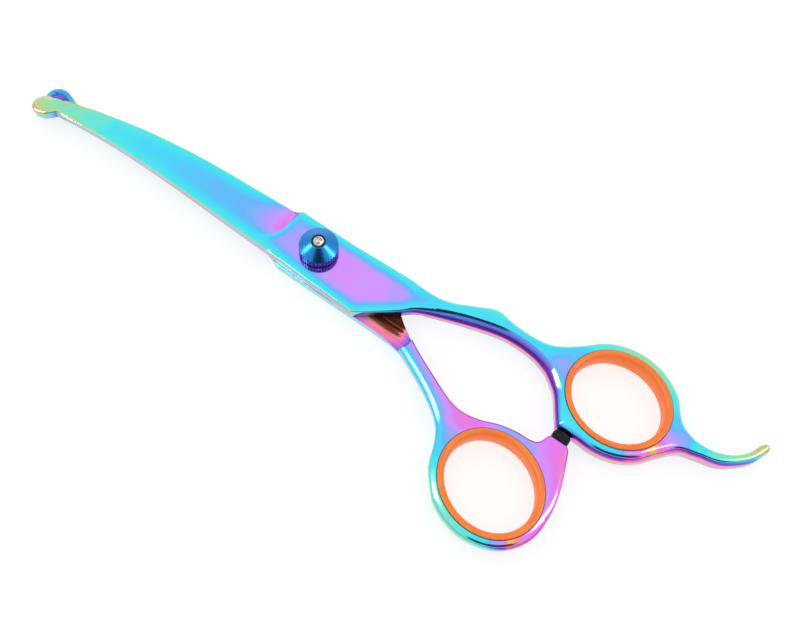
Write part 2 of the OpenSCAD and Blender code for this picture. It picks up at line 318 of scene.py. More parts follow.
def nearest(points, loop):
    """Distance of each point from a closed loop, and the nearest place along the loop."""
    step = np.roll(loop, -1, 0) - loop
    length2 = (step**2).sum(1)
    gaps, places = [], []
    for part in np.array_split(points, len(points) // 1500 + 1):
        rel = part[:, None] - loop
        t = np.clip((rel * step).sum(2) / length2, 0, 1)
        off = rel - t[..., None] * step
        gap = np.hypot(off[..., 0], off[..., 1])
        best = gap.argmin(1)
        rows = np.arange(len(part))
        gaps.append(gap[rows, best])
        places.append(best + t[rows, best])
    return np.concatenate(gaps), np.concatenate(places)


def inside(points, loop):
    """Whether each point is inside a closed loop."""
    ax, ay = loop.T
    bx, by = np.roll(loop, -1, 0).T
    found = []
    for part in np.array_split(points, len(points) // 1500 + 1):
        x, y = part[:, :1], part[:, 1:]
        spans = (ay > y) != (by > y)
        with np.errstate(divide="ignore", invalid="ignore"):
            cross = x < (bx - ax) * (y - ay) / (by - ay) + ax
        found.append((spans & cross).sum(1) % 2 == 1)
    return np.concatenate(found)


def smooth(x, low, high):
    t = np.clip((x - low) / (high - low), 0, 1)
    return t * t * (3 - 2 * t)


def film_row(*places):
    """Named places with their film, and places between them every millimetre."""
    places = np.array(places, float)
    along = np.concatenate([[0], np.cumsum(np.hypot(*np.diff(places[:, :2], axis=0).T))])
    steps = np.linspace(0, along[-1], round(along[-1]) + 1)
    return [tuple(v) for v in np.stack([np.interp(steps, along, places[:, k]) for k in range(3)], 1)]


def spread(p, places):
    """Value at each point from the named places, by the inverse of the distance."""
    place = np.array([c[:2] for c in places], float)
    value = np.array([c[2] for c in places])
    far2 = ((p[:, None] - place) ** 2).sum(2)
    weight = 1 / (far2 + 1.2) ** 2
    return (weight * value).sum(1) / weight.sum(1)


# The two halves


class Half:
    """One half of the shears: a plate whose outer and inner faces are heights over its outline.
    Heights are measured from the meeting plane towards the half's own outer face."""

    def __init__(self, stretches, holes, edge, back, ball, recess, run_out, counterbore, films):
        self.loop, self.style = joined(stretches)
        self.holes = holes
        self.edge, self.back, self.ball = edge, back, np.array(ball)
        self.recess, self.run_out = recess, run_out
        self.counterbore = counterbore
        self.films = films

    def share(self, p):
        """How far a point lies from the blade's edge towards its back."""
        x = np.clip(p[:, 0], *BLADE_X)
        edge = np.interp(x, *self.edge.T)
        back = np.interp(x, *self.back.T)
        return (p[:, 1] - edge) / (back - edge)

    def fall(self, p):
        """Drop of the outer face towards the outline, and the distance from the outline."""
        gap, place = nearest(p, self.loop)
        index = np.arange(len(self.loop) + 1)
        width, depth, facet = (
            np.interp(place, index, np.append(column, column[0])) for column in self.style.T
        )
        u = np.clip(1 - gap / width, 0, 1)
        return depth * (facet * u + (1 - facet) * (1 - np.sqrt(1 - u * u))), gap

    def plunge(self, share):
        """Where the ground face of the blade starts."""
        return np.interp(share, PLUNGE_SHARE, PLUNGE_X)

    def face(self, p):
        """Height of the outer face before its edges are rounded."""
        share = np.clip(self.share(p), 0, 1)
        x = p[:, 0]
        taper = 1 - TAPER * np.clip((x - BLADE_X[0]) / (BLADE_X[1] - BLADE_X[0]), 0, 1)
        thickness = (HALF_T - FACE_Z) * taper
        blade = FACE_Z + EDGE_H + (thickness - EDGE_H) * np.clip(share / GROUND_SHARE, 0, 1)
        bevel = np.clip((share - BEVEL_SHARE) / (1 - BEVEL_SHARE), 0, 1)
        blade -= BEVEL_H * smooth(x, *BEVEL_FADE_X) * bevel
        run = np.clip((x - self.plunge(share)) / PLUNGE_RUN, 0, 1)
        height = HALF_T - (HALF_T - blade) * (1 - (1 - run) ** 2)
        off = np.hypot(*(p - self.ball).T) - BALL_R
        return height + (FACE_Z + BALL_H - height) * (1 - smooth(off, *BALL_FADE))

    def outer(self, p):
        """Height of the outer face. At the tip the drop is in proportion to what is left to drop."""
        drop, _ = self.fall(p)
        lowest = np.where(self.region(p) == 0, SEAM, FACE_Z + LEAST_H)
        face = self.face(p)
        left = np.clip((face - lowest) / BALL_H, 0, 1)
        drop = drop * (1 + smooth(p[:, 0], *TIP_X) * (left - 1))
        return np.maximum(face - drop, lowest)

    def region(self, p):
        """0 on the handle, 1 where the inner face is, 2 in the washer's counterbore."""
        x, y = p.T
        middle_x, middle_y, radius = self.recess
        recess = (x > RECESS_EDGE_X) | (np.hypot(x - middle_x, y - middle_y) < radius)
        bore = self.counterbore & (np.hypot(x, y) < GLIDE_R)
        return np.where(bore, 2, np.where(recess, 1, 0))

    def inner(self, p, region):
        """Height of the inner face, or of the underside of the handle, by region. The inner face is
        relieved along its outline at the tip."""
        drop, gap = self.fall(p)
        depth, width = TIP_RELIEF
        relief = depth * np.clip(1 - gap / width, 0, 1) ** 2 * smooth(p[:, 0], *TIP_RELIEF_X)
        below = FLAT_BELOW * drop - HALF_T
        if self.run_out:
            below = below * (1 - RUN_OUT_SHARE * smooth(p[:, 0], *self.run_out))
        bore = np.full(len(p), FACE_Z + GLIDE_T)
        return np.choose(region, [below, FACE_Z + relief, bore])

    def creases(self):
        """Lines that the mesh follows inside the outline."""
        share = np.linspace(0.02, GROUND_SHARE, 28)
        plunge_x = self.plunge(share)
        line = np.stack([plunge_x, self.at_share(plunge_x, share)], 1)
        x = np.arange(14.5, 77.5, 1.0)
        ridges = [np.stack([x, self.at_share(x, s)], 1) for s in (GROUND_SHARE, BEVEL_SHARE)]
        middle_x, middle_y, radius = self.recess
        turn = math.degrees(math.acos((RECESS_EDGE_X - middle_x) / radius))
        arc = circle((middle_x, middle_y), radius, turn, 360 - turn, 30)
        up = spaced([(RECESS_EDGE_X, 40), arc[0]])
        down = spaced([arc[-1], (RECESS_EDGE_X, -40)])
        beside = [line + (step, 0) for step in (-0.12, 0.35, 0.8, 1.4)]
        lines = [line, *beside, *ridges, np.concatenate([up, arc[1:-1], down])]
        if self.counterbore:
            lines.append(circle((0, 0), GLIDE_R))
        return lines

    def at_share(self, x, share):
        edge = np.interp(x, *self.edge.T)
        return edge + share * (np.interp(x, *self.back.T) - edge)

    def points_inside(self):
        """Free points of the mesh: rows that follow the rounded sides, fewer on the narrow ones, and
        a grid. Rows are cut where they come too near to another part of the outline."""
        ahead = np.roll(self.loop, -1, 0) - np.roll(self.loop, 1, 0)
        inward = np.stack([-ahead[:, 1], ahead[:, 0]], 1) / np.hypot(*ahead.T)[:, None]
        width = self.style[:, :1]
        rows = []
        for level in range(1, 10):
            depth = width * (1 - math.cos(math.radians(10 * level)))
            use = (width[:, 0] > 0.6) | ((width[:, 0] > 0.1) & (level % 3 == 0))
            rows.append((self.loop + inward * depth)[use])
            gap, _ = nearest(rows[-1], self.loop)
            rows[-1] = rows[-1][gap > 0.93 * depth[use, 0]]
        low, high = self.loop.min(0), self.loop.max(0)
        x, y = np.meshgrid(np.arange(low[0], high[0], GRID), np.arange(low[1], high[1], GRID))
        x = x + (np.arange(len(x)) % 2)[:, None] * GRID / 2
        grid = np.stack([x.ravel(), y.ravel()], 1)
        gap, place = nearest(grid, self.loop)
        wide = self.style[np.minimum(place.astype(int), len(self.loop) - 1), 0]
        rows.append(grid[gap > wide + 0.3])
        free = np.concatenate(rows)
        free = free[inside(free, self.loop)]
        for hole in self.holes:
            gap, _ = nearest(free, hole)
            free = free[~inside(free, hole) & (gap > 0.25)]
        return free

    def triangles(self):
        """Points and triangles of the plate, seen from above."""
        points, edges = [], []
        for loop in [self.loop, *self.holes]:
            first = sum(len(p) for p in points)
            count = len(loop)
            points.append(loop)
            edges += [(first + k, first + (k + 1) % count) for k in range(count)]
        for line in self.creases():
            first = sum(len(p) for p in points)
            points.append(line)
            edges += [(first + k, first + k + 1) for k in range(len(line) - 1)]
        points.append(self.points_inside())
        flat = [Vector(p) for p in np.concatenate(points)]
        found = delaunay_2d_cdt(flat, edges, [], 0, 1e-4)
        p = np.array([v[:] for v in found[0]], float)
        t = np.array([f for f in found[2] if len(f) == 3])
        a, b, c = p[t[:, 0]], p[t[:, 1]], p[t[:, 2]]
        area = (b[:, 0] - a[:, 0]) * (c[:, 1] - a[:, 1]) - (b[:, 1] - a[:, 1]) * (c[:, 0] - a[:, 0])
        t[area < 0] = t[area < 0][:, ::-1]
        middle = (a + b + c) / 3
        keep = inside(middle, self.loop) & (np.abs(area) > 1e-7)
        for hole in self.holes:
            keep &= ~inside(middle, hole)
        used, t = np.unique(t[keep], return_inverse=True)
        return p[used], t.reshape(-1, 3), self.region(middle[keep])

    def film_top(self, p):
        """Film on the outer face."""
        film = spread(p, self.films["top"])
        _, gap = self.fall(p)
        share = self.share(p)
        ahead = p[:, 0] - self.plunge(np.clip(share, 0, 1))
        rim = np.where(ahead < 0.05, np.minimum(gap, 1.3 - ahead), gap)
        border = (1 - smooth(rim, 0.2, BORDER_W)) * smooth(p[:, 0], *BORDER_FADE_X)
        film = film + (BORDER_FILM - film) * border * (film > BORDER_FILM)
        fading, ending = PATCH_LENGTHS
        patch = PATCH_FILM + PATCH_EXTRA * np.exp(-ahead / fading)
        reach = (1 - smooth(share, *PATCH_SHARE)) * np.exp(-((ahead / ending) ** 2))
        film = film + np.where(ahead > 0.05, reach * (patch - film), 0)
        thinner = (1 - smooth(gap, 0.2, 1.5)) * smooth(p[:, 0], *TIP_THINNER_X)
        return film - TIP_THINNER * thinner

    def film_side(self, p):
        """Film on the sides, between the named places along the outline."""
        places = np.array(self.films["side"])
        _, named = nearest(places[:, :2], self.loop)
        _, place = nearest(p, self.loop)
        return np.interp(place, named, places[:, 2], period=len(self.loop))

    def build(self, name, side, materials):
        """The half as an object; side is 1 if its outer face is up. Inner points are made once for
        each region that they touch, and walls join the regions."""
        p, t, region = self.triangles()
        outer = self.outer(p)
        _, gap = self.fall(p)
        top, side_film = self.film_top(p), self.film_side(p)
        floor_film = spread(p, self.films["inner"])
        count = len(p)
        keys, rows = {}, []
        for tri, r in zip(t, region):
            for k in tri:
                if (k, r) not in keys:
                    keys[k, r] = count + len(rows)
                    rows.append((k, r))
        index, kind = np.array(rows).T
        inner = np.choose(kind, [self.inner(p[index], np.full(len(index), r)) for r in range(3)])
        corners = np.concatenate(
            [np.column_stack([p, outer]), np.column_stack([p[index], inner])]
        )
        faces = [tuple(tri) for tri in t]
        ground = [0] * len(faces)
        faces += [tuple(keys[k, r] for k in tri[::-1]) for tri, r in zip(t, region)]
        ground += [int(r > 0) for r in region]
        owner = {}
        for tri, r in zip(t, region):
            for a, b in zip(tri, np.roll(tri, -1)):
                owner[a, b] = r
        for (a, b), r in owner.items():
            other = owner.get((b, a))
            if other is None:
                faces.append((keys[a, r], keys[b, r], b, a))
                ground.append(0)
            elif other != r and a < b:
                faces.append((keys[a, r], keys[b, r], keys[b, other], keys[a, other]))
                ground.append(0)
        if side < 0:
            corners[:, 2] *= -1
            faces = [f[::-1] for f in faces]
        film = np.concatenate([top, np.where(kind == 0, top[index], floor_film[index])])
        side_film = np.concatenate([side_film, side_film[index]])
        gap = np.concatenate([gap, gap[index]])
        seat, _ = nearest(np.concatenate([p, p[index]]), self.holes[0])
        obj = mesh_object(name, corners, faces, materials, sharp=34)
        attributes = {"film": film, "side_film": side_film, "rim": gap, "seat": seat}
        for attribute, values in attributes.items():
            obj.data.attributes.new(attribute, "FLOAT", "POINT").data.foreach_set(
                "value", np.minimum(values, 8).astype(np.float32)
            )
        obj.data.polygons.foreach_set("material_index", ground)
        return obj


def mesh_object(name, corners, faces, materials, sharp=30):
    """A smooth-shaded object from corners in millimetres about the meeting plane."""
    corners = np.array(corners, float) + (0, 0, MEET_Z)
    mesh = bpy.data.meshes.new(name)
    mesh.from_pydata((corners * MM).tolist(), [], [tuple(int(k) for k in f) for f in faces])
    mesh.validate()
    for material in materials:
        mesh.materials.append(material)
    mesh.polygons.foreach_set("use_smooth", [True] * len(mesh.polygons))
    mesh.set_sharp_from_angle(angle=math.radians(sharp))
    return added(name, mesh)


def added(name, data):
    """A new object in the scene."""
    obj = bpy.data.objects.new(name, data)
    bpy.context.scene.collection.objects.link(obj)
    return obj


def swept(name, rings, materials, closed_section=True, sharp=30):
    """A mesh from rings of points, each joined to the next and the last to the first."""
    rings = np.array(rings, float)
    count, size = rings.shape[:2]
    faces = []
    for i in range(count):
        for k in range(size if closed_section else size - 1):
            a, b = i * size + k, i * size + (k + 1) % size
            c, d = (i + 1) % count * size + (k + 1) % size, (i + 1) % count * size + k
            faces.append((a, b, c, d))
    return mesh_object(name, rings.reshape(-1, 3), faces, materials, sharp)


def piece(obj, body, slot, *nodes):
    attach(obj, body)
    if nodes:
        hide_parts(*nodes)
    return obj


# Materials


def srgb(code):
    """Linear colour, with alpha, from a six-digit code."""
    values = [int(code[k : k + 2], 16) / 255 for k in (0, 2, 4)]
    return (*[v / 12.92 if v <= 0.04045 else ((v + 0.055) / 1.055) ** 2.4 for v in values], 1)


class Nodes:
    """The nodes of a material or of the world."""

    def __init__(self, owner):
        owner.use_nodes = True
        self.nodes = owner.node_tree.nodes
        self.links = owner.node_tree.links

    def node(self, kind, inputs=(), **settings):
        node = self.nodes.new("ShaderNode" + kind)
        for key, value in settings.items():
            setattr(node, key, value)
        for key, value in dict(inputs).items():
            self.feed(node.inputs[key], value)
        return node

    def feed(self, socket, value):
        if isinstance(value, bpy.types.NodeSocket):
            self.links.new(value, socket)
        else:
            socket.default_value = value

    def place(self, output="Object"):
        return self.node("TexCoord").outputs[output]

    def split(self, vector):
        return self.node("SeparateXYZ", {0: vector}).outputs

    def attribute(self, name):
        return self.node("Attribute", attribute_name=name).outputs["Fac"]

    def along(self, vector, direction):
        node = self.node("VectorMath", {0: vector, 1: direction}, operation="DOT_PRODUCT")
        return node.outputs["Value"]

    def math(self, operation, *values):
        node = self.node("Math", dict(enumerate(values)), operation=operation)
        return node.outputs[0]

    def scaled(self, vector, scale):
        return self.node("Mapping", {"Vector": vector, "Scale": scale}).outputs[0]

    def noise(self, vector, scale, detail=3.0, roughness=0.5):
        inputs = {"Vector": vector, "Scale": scale, "Detail": detail, "Roughness": roughness}
        return self.node("TexNoise", inputs).outputs[0]

    def span(self, value, low, high, to_low=0.0, to_high=1.0, kind="SMOOTHSTEP"):
        inputs = {"Value": value, 1: low, 2: high, 3: to_low, 4: to_high}
        return self.node("MapRange", inputs, interpolation_type=kind).outputs[0]

    def ramp(self, value, stops, kind="LINEAR"):
        node = self.node("ValToRGB", {0: value})
        ramp = node.color_ramp
        ramp.interpolation = kind
        while len(ramp.elements) < len(stops):
            ramp.elements.new(0.5)
        for element, (position, code) in zip(ramp.elements, stops):
            element.position = position
            element.color = srgb(code)
        return node.outputs[0]

    def mix(self, share, a, b, kind="MIX"):
        node = self.node("Mix", data_type="RGBA", blend_type=kind)
        for socket, value in zip((node.inputs[0], node.inputs[6], node.inputs[7]), (share, a, b)):
            self.feed(socket, value)
        return node.outputs[2]

    def pivot_radius(self):
        """Distance from the pivot's axis."""
        x, y, _ = self.split(self.place())
        squares = self.math("ADD", self.math("MULTIPLY", x, x), self.math("MULTIPLY", y, y))
        return self.math("SQRT", squares)


class Material(Nodes):
    """A node material with a Principled shader."""

    def __init__(self, name, **values):
        self.material = bpy.data.materials.new(name)
        super().__init__(self.material)
        self.shader = self.nodes["Principled BSDF"]
        self.set(**values)

    def set(self, **values):
        for key, value in values.items():
            self.feed(self.shader.inputs[key.replace("_", " ")], value)

    def bump(self, height, strength, distance):
        inputs = {"Height": height, "Strength": strength, "Distance": distance}
        self.set(Normal=self.node("Bump", inputs).outputs[0])


# Colours of the oxide film as it gets thicker, on the flat faces, on the sides and on ground faces.
# The side ramp is a deeper, darker copy of the flat one: film colour with painted shade, for the dark
# reflections along the sides.
FILM = [
    (0.0, "d0b4cc"), (0.04, "dca488"), (0.08, "d2cc80"), (0.13, "a4dfa0"), (0.2, "7ee4c8"),
    (0.3, "56e8e6"), (0.4, "48daf8"), (0.5, "66b8fa"), (0.6, "a6a4fd"), (0.7, "cf98fd"),
    (0.8, "e67cf2"), (0.9, "f08a9c"), (1.0, "f2c860"),
]
SIDE_FILM_WITH_SHADE = [
    (0.0, "8cbcc8"), (0.03, "a4aed0"), (0.06, "bea2c0"), (0.09, "c89c80"), (0.12, "c8c078"),
    (0.15, "96d698"), (0.2, "70d8c0"), (0.3, "6ad6dc"), (0.4, "50b8ec"), (0.5, "4a84dc"),
    (0.58, "5a58c8"), (0.66, "7038a8"), (0.76, "ae42b4"), (0.84, "dc6cc0"), (0.92, "e09aa8"),
    (1.0, "e0b898"),
]
GROUND_FILM = [
    (0.0, "a4dfa0"), (0.2, "6ad6dc"), (0.4, "50b8ec"), (0.5, "4450c4"), (0.6, "8c78e4"),
    (0.7, "d46ce0"), (0.78, "f47cc0"), (0.84, "f08c90"), (0.89, "94443c"), (0.94, "5a2c1e"),
    (1.0, "3c180e"),
]


def sheen_of_film(m, film):
    """Slow drift of the film's thickness over the surface."""
    drift = m.span(m.noise(m.place(), 45.0, 2.0), 0.3, 0.7, -0.02, 0.02, "LINEAR")
    return m.math("ADD", film, drift)


def seated(m, colour):
    """Colour with the dark line of shade round a ring insert."""
    shade = m.mix(1.0, colour, srgb("5a4048"), "MULTIPLY")
    return m.mix(m.span(m.attribute("seat"), 0.75, 1.0), shade, colour)


def coated_steel():
    """Mirror-polished steel with a rainbow film, of one thickness on the flat faces and another on
    the sides; the colours between the two run round the edges. Painted light is mixed in: a thin
    highlight line along the rims of flat faces, darker side colours as painted shade, a pale painted
    reflection on sideways faces, and the dark line of shade round the ring inserts."""
    m = Material("coated_steel", Metallic=1.0, Roughness=0.12)
    up = m.math("ABSOLUTE", m.split(m.place("Normal"))[2])
    # Painted highlight: flat faces get a thin line of thinner film along their rims, in place of the
    # glint of an edge bevel.
    thinner = m.span(m.attribute("rim"), 0.1, 0.55, -0.1, 0.0)
    line = m.math("MULTIPLY", m.span(up, 0.85, 0.97), thinner)
    film = m.math("MAXIMUM", m.math("ADD", m.attribute("film"), line), 0.05)
    turned_down = m.span(up, 0.15, 0.96, 1.0, 0.0, "LINEAR")
    change = m.math("MULTIPLY", turned_down, m.math("SUBTRACT", m.attribute("side_film"), film))
    value = sheen_of_film(m, m.math("ADD", film, change))
    # Sides take the darker side ramp: film colour with painted shade.
    colour = m.mix(m.span(turned_down, 0.1, 0.4), m.ramp(value, FILM), m.ramp(value, SIDE_FILM_WITH_SHADE))
    # Painted reflection: faces turned sideways are washed towards pale grey, as walls mirror the
    # white floor.
    colour = m.mix(m.span(up, 0.0, 0.45, 0.28, 0.0), colour, srgb("dcd8e0"))
    fine = m.noise(m.place(), 900.0, 4.0, 0.6)
    m.set(Base_Color=seated(m, colour), Roughness=m.span(fine, 0.3, 0.7, 0.1, 0.16, "LINEAR"))
    m.bump(m.noise(m.place(), 220.0, 2.0), 0.03, 0.0002)
    return m.material


def ground_steel():
    """Inner faces: the same film over the fine marks of the grinding wheel."""
    m = Material("ground_steel", Metallic=1.0, Roughness=0.3)
    marks = m.noise(m.scaled(m.place(), (60.0, 3400.0, 60.0)), 1.0, 4.0, 0.7)
    coarse = m.noise(m.scaled(m.place(), (25.0, 900.0, 25.0)), 1.0, 2.0, 0.6)
    streak = m.span(coarse, 0.3, 0.7, -0.06, 0.06, "LINEAR")
    value = m.math("ADD", m.attribute("film"), streak)
    colour = m.ramp(value, GROUND_FILM)
    bright = m.mix(m.span(marks, 0.58, 0.76), colour, m.mix(0.5, colour, srgb("e8c088")))
    dark = m.mix(1.0, colour, srgb("907a6c"), "MULTIPLY")
    streaked = m.mix(m.span(marks, 0.3, 0.55), dark, bright)
    m.set(Base_Color=m.mix(m.span(value, 0.8, 0.92, 0.3, 1.0), colour, streaked))
    m.set(Roughness=m.span(marks, 0.3, 0.7, 0.22, 0.42, "LINEAR"))
    m.bump(marks, 0.35, 0.0001)
    return m.material


def insert_rubber():
    """Soft orange silicone, a little deeper in colour in soft random clouds."""
    m = Material("insert_rubber", Roughness=0.42, Subsurface_Weight=0.12, Subsurface_Scale=0.002)
    m.set(Subsurface_Radius=(1.0, 0.4, 0.1))
    cloud = m.noise(m.place(), 160.0, 3.0)
    m.set(Base_Color=m.mix(m.span(cloud, 0.3, 0.7), srgb("ff7a1c"), srgb("ff8a2c")))
    grain = m.noise(m.place(), 3500.0, 3.0, 0.6)
    m.set(Roughness=m.span(grain, 0.3, 0.7, 0.36, 0.5, "LINEAR"))
    m.bump(grain, 0.12, 0.0001)
    return m.material


def bumper_rubber():
    m = Material("bumper_rubber", Roughness=0.55, Specular_IOR_Level=0.2)
    grain = m.noise(m.place(), 3000.0, 4.0, 0.6)
    m.set(Base_Color=m.ramp(grain, [(0.3, "040405"), (0.8, "0e0e11")]))
    m.set(Roughness=m.span(grain, 0.3, 0.7, 0.45, 0.65, "LINEAR"))
    m.bump(grain, 0.2, 0.0001)
    return m.material


def turned(name, low, high, metallic=1.0, roughness=0.25, scale=9000.0):
    """Metal or plastic turned on a lathe, with fine rings round the pivot's axis."""
    m = Material(name, Metallic=metallic, Roughness=roughness)
    ring = m.node("CombineXYZ", {0: m.math("MULTIPLY", m.pivot_radius(), scale)}).outputs[0]
    marks = m.noise(ring, 1.0, 3.0, 0.6)
    m.set(Base_Color=m.ramp(marks, [(0.3, low), (0.7, high)]))
    m.set(Roughness=m.span(marks, 0.3, 0.7, roughness * 0.8, roughness * 1.3, "LINEAR"))
    m.bump(marks, 0.08, 0.00005)
    return m


def knob_blue():
    """Blue anodised aluminium: a turned cone, and on the knurled side a deeper colour with painted
    shade, near-black in the valleys between the teeth.
    """
    m = turned("anodised_blue", "2674bc", "348cd4", 1.0, 0.2)
    cone = m.shader.inputs["Base Color"].links[0].from_socket
    up = m.split(m.place("Normal"))[2]
    # Knurled side: painted shade, near-black in the valleys between the teeth and lighter blue on
    # their crests.
    knurl = m.mix(m.span(m.pivot_radius(), 0.00462, 0.00478), srgb("0c0a2c"), srgb("3c3cb0"))
    tangent = m.node("Tangent", direction_type="RADIAL", axis="Z").outputs[0]
    m.set(Base_Color=m.mix(m.span(up, 0.2, 0.6), knurl, cone), Anisotropic=0.7, Tangent=tangent)
    return m.material


def crystal_clear():
    """Foil-backed crystal: random bright and darker cells stand in for facets catching and missing
    the light, as painted reflections.
    """
    m = Material("crystal", Metallic=0.55, Roughness=0.06, Coat_Weight=1.0, Coat_Roughness=0.03)
    painted_glint_cells = m.node("TexVoronoi", {"Vector": m.place(), "Scale": 1300.0}).outputs["Color"]
    light = m.node("SeparateColor", {0: painted_glint_cells}).outputs[0]
    stops = [(0.0, "8a7874"), (0.3, "ccbcb4"), (0.55, "ece2dc"), (1.0, "fbf4f4")]
    m.set(Base_Color=m.ramp(light, stops))
    return m.material


COATED = coated_steel()
GROUND = ground_steel()


# Pieces

# Film of each half, as places x, y and thickness: on the outer face, along the sides and on the
# inner face. A few places set painted shade instead, as noted where they stand.
FINGER_FILM = {
    "top": [
        (-8, 0, 0.73), (-18, 0, 0.72), (-22, -2, 0.66), (3, 0, 0.67), (8, 1, 0.62), (8, -3, 0.58),
        (14, 2, 0.5), (14, -3, 0.5), (20, 2, 0.48), (28, 2, 0.47), (38, 2, 0.44), (50, 2, 0.41),
        (60, 3, 0.36), (68, 4, 0.26), (74, 5.5, 0.2), (78, 7, 0.16), (81, 8, 0.13),
        (83, 8, 0.1), (81, 10.5, 0.09), (-27, -5, 0.52), (-30, -4.5, 0.42), (-34, -5.5, 0.38),
        (-38, -8.5, 0.36), (-44, -9, 0.38), (-44, -12.5, 0.3), (-48, -11, 0.36), (-52, -10, 0.38),
        (-57, -11, 0.38), (-60, -13, 0.42), (-63, -10, 0.58), (-66, -14, 0.46), (-62, -8, 0.46),
        (-65, -4, 0.4), (-69, 0, 0.36), (-71, 2, 0.33), (-75, 2, 0.36), (-80, 2.5, 0.34),
        (-85, 1.5, 0.42), (-88, -0.5, 0.7), (-90.5, -3, 0.84), (-90.7, -5, 1.0),
        (-92.5, -5.5, 0.84), (-93.5, -8.5, 0.68), (-95, -11, 0.56), (-93, -14, 0.44),
        (-90, -18.5, 0.3), (-86, -22, 0.18), (-80, -24, 0.14), (-74, -24, 0.17), (-69, -21, 0.26),
        (-99, -11.5, 0.34), (-104, -12.8, 0.2), (-108, -15.5, 0.12), (-111.5, -20, 0.07),
    ],
    "side": [
        (35, 6.8, 0.06), (50, 6.7, 0.05), (60, 7, 0.03), (70, 7.7, 0.01), (75.4, 8.4, 0.0),
        # Painted shade: in the inner corner where the ball meets the blade's back, the side turns
        # dark purple.
        (76.4, 8.5, 0.62), (77.1, 9.5, 0.38), (78.1, 10.6, 0.24), (79.4, 11.2, 0.16),
        (82.4, 10.8, 0.14), (83.6, 9, 0.1), (80, 4.5, 0.12), (60, -1, 0.12), (30, -5, 0.13),
        (10, -6.2, 0.12), (-33, -8.5, 0.12), (-42, -13.1, 0.1), (-53, -12.8, 0.12),
        (-66, -19.3, 0.2), (-78, -24.6, 0.1), (-88, -21.5, 0.14), (-93.5, -15.2, 0.35),
        (-102, -13.5, 0.3), (-109, -17.9, 0.13), (-113, -20, 0.09), (-111, -16.5, 0.7),
        (-107, -12.5, 0.84), (-102, -10, 0.9), (-96, -8.4, 0.95), (-92, -4, 0.97),
        (-88, 0, 0.94), (-82, 3, 0.92), (-76, 3, 0.88), (-70, 3, 0.8), (-68, 0.4, 0.88),
        (-65, -3.8, 0.92), (-61, -6.9, 0.93), (-50, -8.6, 0.93), (-40, -6.1, 0.91),
        (-33, -3.4, 0.88), (-28, -1, 0.8), (-24, 2, 0.6), (-20, 5, 0.4), (-16.6, 7.7, 0.32),
        (-15.5, 8.3, 0.06),
    ],
    "inner": [(-26, -5, 0.7), (-10, 0, 0.55), (10, 0, 0.5), (30, 2, 0.42), (60, 3, 0.35)],
}
